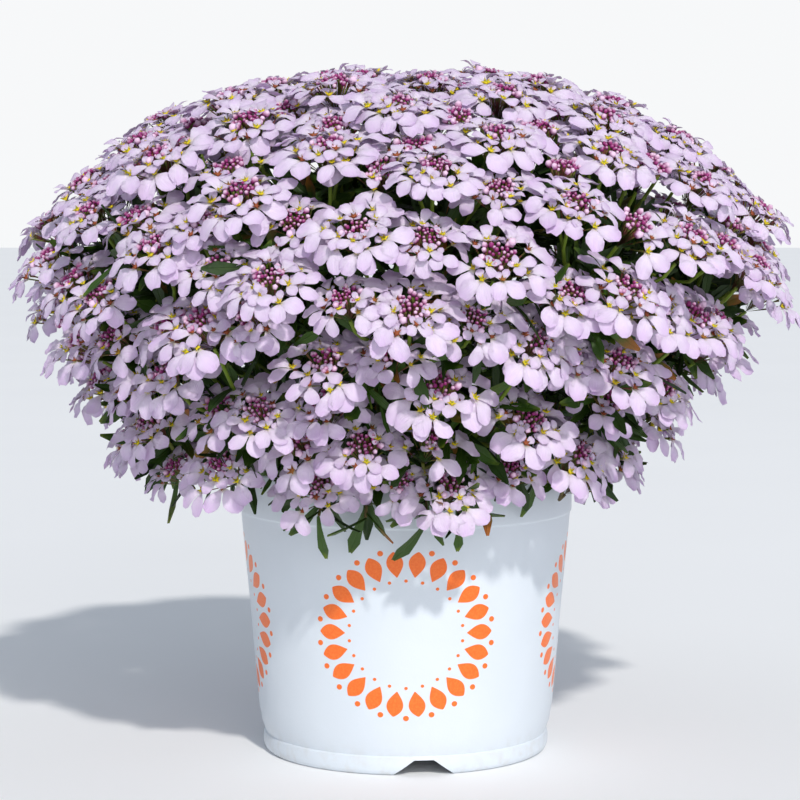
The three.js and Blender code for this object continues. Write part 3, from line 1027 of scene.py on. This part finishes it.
def small_petal(name, full_length, full_width, rows, seed):
    """A petal of an inner flower, or a small petal of any flower, with fewer faces."""
    chance = random.Random(name + str(seed))
    length = full_length * chance.uniform(0.85, 1.12) * mm
    half = full_width * chance.uniform(0.85, 1.1) / 2 * mm
    rise = chance.uniform(0.15, 0.4)
    cup = chance.uniform(0.05, 0.3)

    def place(along, across):
        claw = 0.2 + 0.8 * min(1, along / 0.6)
        out, width = spoon(along, across, 0.55, 0.5)
        up = length * rise * math.sin(math.pi * along * 0.7) + cup * across ** 2 * half
        return Vector((length * out, half * claw * width * across, up))

    return blade(name, rows, 2, petal_thickness * mm, upward(1), place)


def bud(seed):
    """A closed bud: an egg a little taller than wide, standing on its short stalk."""
    chance = random.Random(500 + seed)
    radius = bud_diameter / 2 * chance.uniform(0.85, 1.15) * mm
    tall = radius * 2 * chance.uniform(1.0, 1.25)
    shares = [(0, 0), (0.92, 0.26), (0.86, 0.74), (0, 1)]
    mesh = turned("bud", [(radius * out, tall * up) for out, up in shares], 5)
    mark_points(mesh, "along", [vertex.co.z / tall for vertex in mesh.vertices])
    return mark_finish(mesh, 1)


def pollen_star(seed):
    """The yellow middle of a flower: pollen sacs that lean out round a green seed vessel."""
    chance = random.Random(800 + seed)
    points = [(0, 0, 0.2), (0, 0, 2.1)]
    marks = [0, 0]
    faces = []
    for i in range(2 * sac_count):
        angle = math.pi * i / sac_count + chance.uniform(-0.15, 0.15)
        out, up, mark = 1.05, 1.5, 0.5
        if i % 2 == 0:
            out, up, mark = sac_reach * chance.uniform(0.85, 1.15), chance.uniform(2.0, 3.2), 1
        points.append((out * math.cos(angle), out * math.sin(angle), up))
        marks.append(mark)
        after = 2 + (i + 1) % (2 * sac_count)
        faces += [(1, i + 2, after), (0, after, i + 2)]
    mesh = mesh_of("pollen star", [Vector(point) * mm for point in points], faces)
    mesh.shade_smooth()
    mark_points(mesh, "along", marks)
    return mark_finish(mesh, 2)


def pedicel(name, profile):
    """A flower's own short stalk, one unit tall along Z, from (radius in mm, height) points."""
    mesh = turned(name, [(out * mm, up) for out, up in profile], 3)
    return mark_finish(mesh, 3)


petal_finish = Finish("lilac petal", {
    "IOR": 1.4, "Subsurface Weight": 0.35, "Subsurface Scale": 1.5 * mm,
    "Subsurface Radius": (1.0, 0.8, 1.0),
})
along = petal_finish.attribute("along")
tone = petal_finish.attribute("petal_tone")
cloud = petal_finish.noise(130, 2)
vein_place = petal_finish.vector(petal_finish.attribute("across") * 9, along * 1.2, tone * 40)
vein = petal_finish.noise(2.2, 2, at=vein_place)
deepness = petal_finish.ramp(petal_finish.attribute("head_tone") + tone * 0.5, 0.2, 1.3)
lilac = petal_finish.mixed(deepness, petal_lilac, petal_deep)
skin = petal_finish.mixed(petal_finish.ramp(along + cloud * 0.3, 0.2, 1.15), petal_white, lilac)
skin = petal_finish.mixed(petal_finish.ramp(vein, 0.5, 0.72) * 0.22, skin, petal_vein)
skin = petal_finish.mixed(petal_finish.ramp(along, 0.2, 0), skin, petal_claw)
petal_finish.surface(skin, 0.5 + cloud * 0.2, vein * 0.8 + cloud * 0.5, 0.35 * mm)

bud_finish = Finish("magenta bud", {"IOR": 1.4})
along = bud_finish.attribute("along")
tone = bud_finish.attribute("bud_tone")
cloud = bud_finish.noise(900, 2)
rosy = bud_finish.mixed(tone, bud_magenta, bud_rose)
# Older buds are really paler. The top of every bud is also painted paler, as a painted highlight.
rosy = bud_finish.mixed(bud_finish.ramp(tone * 0.7 + along * 0.75, 0.66, 1.08), rosy, bud_pale_and_highlight)
rosy = bud_finish.mixed(bud_finish.ramp(along, 0.22, 0), rosy, bud_foot)
bud_finish.surface(rosy, 0.42 + cloud * 0.2, cloud, 0.2 * mm)

eye_finish = Finish("pollen", {"IOR": 1.4})
crumbs = eye_finish.noise(1500, 2)
ripe = eye_finish.ramp(eye_finish.attribute("along"), 0.1, 0.45)
spent = eye_finish.ramp(eye_finish.attribute("floret_age"), 0.5, 0.66)
yellow = eye_finish.mixed(spent, eye_finish.mixed(ripe, eye_green, eye_yellow), eye_brown)
eye_finish.surface(yellow, 0.7 + crumbs * 0.2, crumbs, 0.3 * mm)

stalk_finish = Finish("flower stalk", {"IOR": 1.4})
streaks = stalk_finish.noise(260)
skin = stalk_finish.mixed(stalk_finish.ramp(streaks, 0.42, 0.62), pedicel_green, pedicel_red)
stalk_finish.surface(skin, 0.5 + streaks * 0.2, streaks, 0.3 * mm)

spray_finishes = {
    "Petal finish": petal_finish.material, "Bud finish": bud_finish.material,
    "Pollen finish": eye_finish.material, "Flower stalk finish": stalk_finish.material,
    "Stem finish": stem_finish.material,
}

# One flower: two large petals side by side, two small ones behind them, and a yellow middle.
floret_tree = Tree("flower")
large_input, small_input, pollen_input = floret_tree.sizes(
    "Collection", "Large petals", "Small petals", "Pollen")
petal_angle, small_angle = floret_tree.sizes("Float", "Petal angle", "Small petal angle")
finishes = floret_tree.sizes("Material", *spray_finishes)
side = floret_tree.index() * 2 - 1
pair = floret_tree.node("GeometryNodePoints", values={"Count": 2})
turn = floret_tree.turn(
    side * floret_tree.random(-0.2, 0.25, 1), floret_tree.random(-0.2, 0.12, 2),
    side * petal_angle + floret_tree.random(-0.12, 0.12, 3))
size = floret_tree.random(0.9, 1.06, 5)
large = floret_tree.copies(pair, large_input, floret_tree.pick(petal_kinds, 4), turn, size)
large = floret_tree.label(large, "petal_tone", floret_tree.random(0.0, 1.0, 6))
turn = floret_tree.turn(
    0.0, floret_tree.random(-0.7, -0.1, 7), math.pi + side * small_angle + floret_tree.random(-0.2, 0.2, 8))
size = floret_tree.random(0.85, 1.1, 10)
small = floret_tree.copies(pair, small_input, floret_tree.pick(small_petal_kinds, 9), turn, size)
small = floret_tree.label(small, "petal_tone", floret_tree.random(0.0, 0.5, 11))
middle = floret_tree.node("GeometryNodePoints", values={"Count": 1})
turn = floret_tree.turn(0.0, 0.0, floret_tree.random(0.0, 2.0, 12))
size = floret_tree.random(0.85, 1.15, 14)
sacs = floret_tree.copies(middle, pollen_input, floret_tree.pick(pollen_kinds, 13), turn, size)
floret_tree.realised([large, small, sacs], finishes)

# One head: rings of flowers round a middle of buds, all on short stalks from one point below.
head_tree = Tree("flower head")
outer_input, inner_input, buds_input, pedicel_input = head_tree.sizes(
    "Collection", "Outer flowers", "Inner flowers", "Buds", "Pedicels")
outer_count, inner_count, bud_count = head_tree.sizes("Int", "Outer count", "Inner count", "Bud count")
ring_size, inner_size, bud_disc = head_tree.sizes(
    "Float", "Ring radius", "Inner ring radius", "Bud disc radius")
bud_size, droop = head_tree.sizes("Float", "Bud size", "Droop")
finishes = head_tree.sizes("Material", *spray_finishes)
index = head_tree.index()


def on_circle(out, angle, up):
    return head_tree.vector(
        out * head_tree.maths("COSINE", angle), out * head_tree.maths("SINE", angle), up)


def on_stalks(count, place, stalk, source, kind, turn, size):
    """Flowers or buds at their places, and a short stalk from the head's hub to each."""
    points = head_tree.node("GeometryNodePoints", values={"Count": count})
    placed = head_tree.node("GeometryNodeSetPosition", values={0: points, "Position": place})
    hub = head_tree.vector(0.0, 0.0, -hub_depth * mm)
    reach = head_tree.node("ShaderNodeVectorMath", {"operation": "SUBTRACT"}, {0: place, 1: hub})
    length = head_tree.node("ShaderNodeVectorMath", {"operation": "LENGTH"}, {0: reach}, "Value")
    rotation = head_tree.node("FunctionNodeAlignRotationToVector", {"axis": "Z"}, {"Vector": reach})
    at_hub = head_tree.node("GeometryNodeSetPosition", values={0: points, "Position": hub})
    stretch = head_tree.vector(1.0, 1.0, length)
    stalks = head_tree.copies(at_hub, pedicel_input, stalk, rotation, stretch)
    return head_tree.copies(placed, source, kind, turn, size), stalks


def ring_of_flowers(count, radius, height, source, tilt, salt):
    """Flowers set evenly round a ring, with the short stalk of each."""
    angle = (index + head_tree.random(-0.32, 0.32, salt)) * full_turn / count
    out = radius + head_tree.random(-2.4 * mm, 1.8 * mm, salt + 1)
    up = head_tree.random((height - 1.1) * mm, (height + 1.1) * mm, salt + 2)
    turn = head_tree.turn(
        head_tree.random(-0.2, 0.2, salt + 4), tilt + head_tree.random(-0.26, 0.3, salt + 3),
        angle + head_tree.random(-0.2, 0.2, salt + 5))
    flowers, stalks = on_stalks(
        count, on_circle(out, angle, up), 0, source, head_tree.pick(floret_kinds, salt + 6), turn,
        head_tree.random(0.92, 1.08, salt + 7))
    return head_tree.label(flowers, "floret_age", head_tree.random(0.0, 1.0, salt + 8)), stalks


outer, outer_stalks = ring_of_flowers(outer_count, ring_size, ring_height, outer_input, droop, 10)
inner, inner_stalks = ring_of_flowers(
    inner_count, inner_size, inner_height, inner_input, droop * 0.5, 30)
share = (index + 0.5) / bud_count
angle = index * golden_angle + head_tree.random(-0.3, 0.3, 50)
up = bud_height * mm - share * 1.6 * mm + head_tree.random(-0.5 * mm, 0.5 * mm, 51)
turn = head_tree.turn(head_tree.random(-0.3, 0.3, 53), share * 0.7, angle)
size = bud_size * (0.72 + share ** 4 * 0.75) * head_tree.random(0.85, 1.2, 52)
buds, bud_stalks = on_stalks(
    bud_count, on_circle(bud_disc * head_tree.maths("SQRT", share), angle, up), 1, buds_input,
    head_tree.pick(bud_kinds, 54), turn, size)
buds = head_tree.label(buds, "bud_tone", share ** 3 * 0.5 + head_tree.random(0.0, 0.5, 55))
head_tree.realised([outer, outer_stalks, inner, inner_stalks, buds, bud_stalks], finishes)

# One spray: green stalks from the fork, with a head at the end of each.
spray_tree = Tree("flower spray")
heads_input = spray_tree.sizes("Collection", "Heads")[0]
finishes = spray_tree.sizes("Material", *spray_finishes)
lines = spray_tree.node("GeometryNodeMeshToCurve", values={0: spray_tree.start})
stalks = tubes(spray_tree, lines, list(spray_finishes).index("Stem finish"))
facing = spray_tree.named("facing", "FLOAT_VECTOR")
facing = spray_tree.node("FunctionNodeEulerToRotation", values={0: facing})
placed_heads = spray_tree.copies(
    spray_tree.start, heads_input, spray_tree.named("kind", "INT"), facing, spray_tree.named("size"),
    spray_tree.named("head", "BOOLEAN"))
placed_heads = spray_tree.label(placed_heads, "head_tone", spray_tree.random(0.0, 1.0, 1))
spray_tree.realised([stalks, placed_heads], finishes)

large_kit = kit("large petals", [large_petal(seed) for seed in range(petal_kinds)])
middle_kit = kit("middle petals", [
    small_petal("middle petal", middle_petal_length, middle_petal_width, 4, seed)
    for seed in range(petal_kinds)
])
small_kit = kit("small petals", [
    small_petal("small petal", small_petal_length, small_petal_width, 3, seed)
    for seed in range(small_petal_kinds)
])
pollen_kit = kit("pollen", [pollen_star(seed) for seed in range(pollen_kinds)])
bud_kit = kit("buds", [bud(seed) for seed in range(bud_kinds)])
flower_pedicel = pedicel("flower pedicel", [(0, 0), (0.45, 0.86), (0.95, 1), (0, 1)])
bud_pedicel = pedicel("bud pedicel", [(0, 0), (0.45, 1), (0, 1)])
pedicel_kit = kit("pedicels", [flower_pedicel, bud_pedicel])


def florets(name, petals, angle, seed):
    """The different flowers that the heads pick from."""
    sizes = {
        "Large petals": petals, "Small petals": small_kit, "Pollen": pollen_kit,
        "Petal angle": math.radians(angle), "Small petal angle": math.radians(small_petal_angle),
        **spray_finishes,
    }
    return kit(name, [grown(floret_tree, {"Seed": seed + i, **sizes}) for i in range(floret_kinds)])


shared_sizes = {
    "Outer flowers": florets("outer flowers", large_kit, outer_petal_angle, 1000),
    "Inner flowers": florets("inner flowers", middle_kit, inner_petal_angle, 2000),
    "Buds": bud_kit, "Pedicels": pedicel_kit, "Ring radius": ring_radius * mm,
    "Inner ring radius": inner_radius * mm, "Droop": math.radians(petal_droop), **spray_finishes,
}

# Each kind of head: flowers in the ring, flowers inside it, buds, and the radius of the bud disc.
head_kinds = [
    (9, 6, 22, 5.9), (9, 7, 24, 6.1), (8, 6, 26, 6.6), (10, 6, 22, 5.8), (9, 5, 28, 6.9),
    (8, 5, 30, 7.2), (8, 4, 32, 7.6), (9, 6, 24, 6.2), (7, 4, 30, 7.0), (4, 2, 30, 7.0),
    (1, 1, 28, 6.6),
]
open_kinds = 8             # the first ones, which stand on the mound
young_kinds = (0, 2, 5, 6, 8, 8, 9, 10)


def head_mesh(number):
    """One kind of head, with its hub at the origin, where its stalk ends."""
    outer_flowers, inner_flowers, buds_in_head, disc = head_kinds[number]
    sizes = {
        "Seed": 3000 + number * 100, "Outer count": outer_flowers, "Inner count": inner_flowers,
        "Bud count": buds_in_head, "Bud disc radius": disc * mm, "Bud size": 1.0 + 0.02 * disc,
        **shared_sizes,
    }
    mesh = grown(head_tree, sizes)
    for vertex in mesh.vertices:
        vertex.co.z += hub_depth * mm
    return mesh


head_kit = kit("heads", [head_mesh(number) for number in range(len(head_kinds))])


def spray_mesh(stem):
    """The stalks of a spray as lines, with a marked point where each head stands."""
    chance = random.Random(900 + stem.number)
    paths = [(stem.stalk(head), spray_radius, spray_end_radius, 0) for head in stem.heads]
    mesh = paths_mesh("spray", paths)
    count = len(mesh.vertices)
    is_head = [False] * count
    kinds = [0] * count
    sizes = [1.0] * count
    facing = [0.0] * count * 3
    for number, head in enumerate(stem.heads):
        last = (number + 1) * (stalk_steps + 1) - 1
        spin = Quaternion((0, 0, 1), chance.uniform(0, full_turn))
        is_head[last] = True
        kinds[last] = chance.randrange(open_kinds)
        sizes[last] = chance.uniform(*head_scale)
        if head.young:
            kinds[last] = chance.choice(young_kinds)
            sizes[last] = chance.uniform(*young_scale)
        axis = head.axis + Vector(light_lean)
        facing[3 * last:3 * last + 3] = (axis.to_track_quat("Z", "Y") @ spin).to_euler()
    mark_points(mesh, "head", is_head, "BOOLEAN")
    mark_points(mesh, "kind", kinds, "INT")
    mark_points(mesh, "size", sizes)
    mark_points(mesh, "facing", facing, "FLOAT_VECTOR")
    return mesh


for stem in all_stems:
    tag = f"{stem.number + 1:02d}"
    sizes = {"Seed": 5000 + stem.number, "Heads": head_kit, **spray_finishes}
    made = piece(f"flowers_{tag}", grown(spray_tree, sizes, spray_mesh(stem)))
    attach(made, "root")
    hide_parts(f"flower_spray_{tag}")


# The studio
# A pale paper floor under a soft bright sky, and a sun from above and in front. A wide light at the
# front and a small one near the floor reach the pot, which stands in the mound's shade.
camera_place = (-3, -1340, 295)
camera_down = 4.7
camera_lens = 114.2
floor_reach = 12
sky_colour = (0.78, 0.87, 1.0, 1)
sky_strength = 0.5
backdrop_colour = (0.93, 0.94, 0.95, 1)
sun_strength = 2.1
sun_width = 3
sun_colour = (1.0, 0.97, 0.93)
sun_turn = (46, 17, 0)
front_power = 68
front_width = 3.5
front_place = (1.2, -5, 1.4)
low_power = 12
low_spread = 6.5
low_place = (0.1, -2.3, 0.12)

corners = [(-1, -1), (1, -1), (1, 1), (-1, 1)]
floor_points = [(x * floor_reach, y * floor_reach, 0) for x, y in corners]
floor = piece("floor", mesh_of("floor", floor_points, [(0, 1, 2, 3)]))
paper = Finish("white paper", {"Roughness": 0.9})
paper_tint = paper.mixed(paper.noise(3, 2), colour(244, 244, 244), colour(248, 248, 248))
paper.feed(paper.shader["Base Color"], paper_tint)
floor.data.materials.append(paper.material)

world = bpy.data.worlds.new("sky")
bpy.context.scene.world = world
world.use_nodes = True
sky = Recipe(world.node_tree)
seen = sky.node("ShaderNodeBackground", values={0: backdrop_colour, 1: 1.0})
lit = sky.node("ShaderNodeBackground", values={0: sky_colour, 1: sky_strength})
direct = sky.node("ShaderNodeLightPath", output="Is Camera Ray")
mixed_sky = sky.node("ShaderNodeMixShader", values={0: direct, 1: lit, 2: seen})
sky.feed(world.node_tree.nodes["World Output"].inputs[0], mixed_sky)


def lamp(name, kind, power):
    made = piece(name, bpy.data.lights.new(name, kind))
    made.data.energy = power
    return made


def aim(made, place, height):
    """Puts a lamp at a place in metres and turns it to a point over the middle of the floor."""
    made.location = place
    way = upward(height) - made.location
    made.rotation_euler = way.to_track_quat("-Z", "Y").to_euler()


sun = lamp("sun", "SUN", sun_strength)
sun.data.angle = math.radians(sun_width)
sun.data.color = sun_colour
sun.rotation_euler = [math.radians(turn) for turn in sun_turn]

front = lamp("front light", "AREA", front_power)
front.data.shape = "DISK"
front.data.size = front_width
aim(front, front_place, 0.15)

low = lamp("low light", "SPOT", low_power)
low.data.spot_size = math.radians(low_spread)
low.data.spot_blend = 1
low.data.shadow_soft_size = 0.1
aim(low, low_place, 0.06)

camera_data = bpy.data.cameras.new("camera")
camera_data.lens = camera_lens
camera = piece("camera", camera_data)
camera.location = Vector(camera_place) * mm
camera.rotation_euler = (math.radians(90 - camera_down), 0, 0)
bpy.context.scene.camera = camera
bpy.context.scene.view_settings.view_transform = "Standard"
